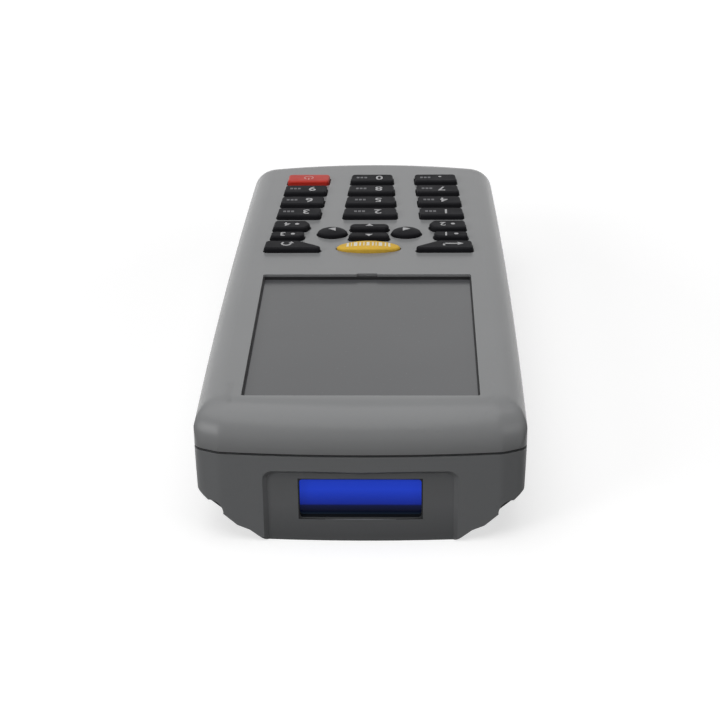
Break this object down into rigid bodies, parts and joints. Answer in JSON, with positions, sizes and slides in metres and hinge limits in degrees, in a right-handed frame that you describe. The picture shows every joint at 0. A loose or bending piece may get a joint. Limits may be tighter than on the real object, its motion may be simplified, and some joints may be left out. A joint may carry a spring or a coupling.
{
  "type": "portable barcode data terminal",
  "caption": "Handheld data terminal with a screen, a pressable keypad, a barcode scan window in one end, a sliding battery door and a hinged port flap.",
  "frame": {"origin": "middle of the footprint, on the surface that the terminal lies on", "axes": "+Z out of the screen, +Y from the scanning end to the tail, +X to the right when the scanning end is looked at"},
  "size_m": [0.0702, 0.1608, 0.0315],
  "materials": {
    "cover": "fine matte",
    "case": "fine matte",
    "black_rubber": "matte",
    "mat_rubber": "matte",
    "lens_glass": "polished",
    "lcd_face": "satin",
    "steel": "satin",
    "dark_steel": "black oxide",
    "flex": "gloss film",
    "black_plastic": "matte",
    "battery_wrap": "satin film",
    "contact_brass": "plated",
    "board": "solder mask",
    "window_glass": "coated, polished",
    "yellow_key": "matte",
    "red_key": "matte",
    "grey_key": "matte"
  },
  "bodies": {
    "housing": {"backup_cell": "steel", "battery_connector": "black_plastic", "battery_pack": "battery_wrap", "board_header": "black_plastic", "board_screws": "steel", "buzzer": "black_plastic", "case_screws": "dark_steel", "contact_blades": "contact_brass", "display_flex": "flex", "display_gasket": "black_rubber", "display_lens": "lens_glass", "dome_switches": "steel", "engine_bracket": "steel", "engine_flex": "flex", "engine_lens": "lens_glass", "engine_screws": "steel", "flex_connector": "black_plastic", "front_cover": "cover", "keypad_mat": "mat_rubber", "lcd_holder": "steel", "lcd_module": "lcd_face", "main_board": "board", "port_board": "board", "port_door_pin": "steel", "port_socket": "steel", "rear_cover": "case", "scan_engine": "black_plastic", "scan_window": "window_glass", "shield_can": "steel", "window_gasket": "black_rubber"},
    "door": {"battery_door": "case"},
    "flap": {"port_door": "case"},
    "key_scan_body": {"key_scan": "yellow_key"},
    "key_power_body": {"key_power": "red_key"},
    "key_f1_body": {"key_f1": "grey_key"},
    "key_f2_body": {"key_f2": "grey_key"},
    "key_f3_body": {"key_f3": "grey_key"},
    "key_f4_body": {"key_f4": "grey_key"},
    "key_enter_body": {"key_enter": "grey_key"},
    "key_clear_body": {"key_clear": "grey_key"},
    "key_left_body": {"key_left": "grey_key"},
    "key_right_body": {"key_right": "grey_key"},
    "key_up_body": {"key_up": "grey_key"},
    "key_down_body": {"key_down": "grey_key"},
    "key_0_body": {"key_0": "grey_key"},
    "key_1_body": {"key_1": "grey_key"},
    "key_2_body": {"key_2": "grey_key"},
    "key_3_body": {"key_3": "grey_key"},
    "key_4_body": {"key_4": "grey_key"},
    "key_5_body": {"key_5": "grey_key"},
    "key_6_body": {"key_6": "grey_key"},
    "key_7_body": {"key_7": "grey_key"},
    "key_8_body": {"key_8": "grey_key"},
    "key_9_body": {"key_9": "grey_key"},
    "key_dot_body": {"key_dot": "grey_key"}
  },
  "joints": [
    {"name": "battery_door_slide", "type": "slide", "parent": "housing", "child": "door", "axis": [0, 1, 0], "range_m": [0, 0.07]},
    {"name": "port_door_hinge", "type": "hinge", "parent": "housing", "child": "flap", "pos_m": [0, 0.0789, 0.01115], "axis": [-1, 0, 0], "range_deg": [0, 90]},
    {"name": "key_scan_press", "type": "slide", "parent": "housing", "child": "key_scan_body", "axis": [0, 0, -1], "range_m": [0, 0.0005], "stiffness_N_per_m": 1500},
    {"name": "key_power_press", "type": "slide", "parent": "housing", "child": "key_power_body", "axis": [0, 0, -1], "range_m": [0, 0.0005], "stiffness_N_per_m": 1500},
    {"name": "key_f1_press", "type": "slide", "parent": "housing", "child": "key_f1_body", "axis": [0, 0, -1], "range_m": [0, 0.0005], "stiffness_N_per_m": 1500},
    {"name": "key_f2_press", "type": "slide", "parent": "housing", "child": "key_f2_body", "axis": [0, 0, -1], "range_m": [0, 0.0005], "stiffness_N_per_m": 1500},
    {"name": "key_f3_press", "type": "slide", "parent": "housing", "child": "key_f3_body", "axis": [0, 0, -1], "range_m": [0, 0.0005], "stiffness_N_per_m": 1500},
    {"name": "key_f4_press", "type": "slide", "parent": "housing", "child": "key_f4_body", "axis": [0, 0, -1], "range_m": [0, 0.0005], "stiffness_N_per_m": 1500},
    {"name": "key_enter_press", "type": "slide", "parent": "housing", "child": "key_enter_body", "axis": [0, 0, -1], "range_m": [0, 0.0005], "stiffness_N_per_m": 1500},
    {"name": "key_clear_press", "type": "slide", "parent": "housing", "child": "key_clear_body", "axis": [0, 0, -1], "range_m": [0, 0.0005], "stiffness_N_per_m": 1500},
    {"name": "key_left_press", "type": "slide", "parent": "housing", "child": "key_left_body", "axis": [0, 0, -1], "range_m": [0, 0.0005], "stiffness_N_per_m": 1500},
    {"name": "key_right_press", "type": "slide", "parent": "housing", "child": "key_right_body", "axis": [0, 0, -1], "range_m": [0, 0.0005], "stiffness_N_per_m": 1500},
    {"name": "key_up_press", "type": "slide", "parent": "housing", "child": "key_up_body", "axis": [0, 0, -1], "range_m": [0, 0.0005], "stiffness_N_per_m": 1500},
    {"name": "key_down_press", "type": "slide", "parent": "housing", "child": "key_down_body", "axis": [0, 0, -1], "range_m": [0, 0.0005], "stiffness_N_per_m": 1500},
    {"name": "key_0_press", "type": "slide", "parent": "housing", "child": "key_0_body", "axis": [0, 0, -1], "range_m": [0, 0.0005], "stiffness_N_per_m": 1500},
    {"name": "key_1_press", "type": "slide", "parent": "housing", "child": "key_1_body", "axis": [0, 0, -1], "range_m": [0, 0.0005], "stiffness_N_per_m": 1500},
    {"name": "key_2_press", "type": "slide", "parent": "housing", "child": "key_2_body", "axis": [0, 0, -1], "range_m": [0, 0.0005], "stiffness_N_per_m": 1500},
    {"name": "key_3_press", "type": "slide", "parent": "housing", "child": "key_3_body", "axis": [0, 0, -1], "range_m": [0, 0.0005], "stiffness_N_per_m": 1500},
    {"name": "key_4_press", "type": "slide", "parent": "housing", "child": "key_4_body", "axis": [0, 0, -1], "range_m": [0, 0.0005], "stiffness_N_per_m": 1500},
    {"name": "key_5_press", "type": "slide", "parent": "housing", "child": "key_5_body", "axis": [0, 0, -1], "range_m": [0, 0.0005], "stiffness_N_per_m": 1500},
    {"name": "key_6_press", "type": "slide", "parent": "housing", "child": "key_6_body", "axis": [0, 0, -1], "range_m": [0, 0.0005], "stiffness_N_per_m": 1500},
    {"name": "key_7_press", "type": "slide", "parent": "housing", "child": "key_7_body", "axis": [0, 0, -1], "range_m": [0, 0.0005], "stiffness_N_per_m": 1500},
    {"name": "key_8_press", "type": "slide", "parent": "housing", "child": "key_8_body", "axis": [0, 0, -1], "range_m": [0, 0.0005], "stiffness_N_per_m": 1500},
    {"name": "key_9_press", "type": "slide", "parent": "housing", "child": "key_9_body", "axis": [0, 0, -1], "range_m": [0, 0.0005], "stiffness_N_per_m": 1500},
    {"name": "key_dot_press", "type": "slide", "parent": "housing", "child": "key_dot_body", "axis": [0, 0, -1], "range_m": [0, 0.0005], "stiffness_N_per_m": 1500}
  ]
}
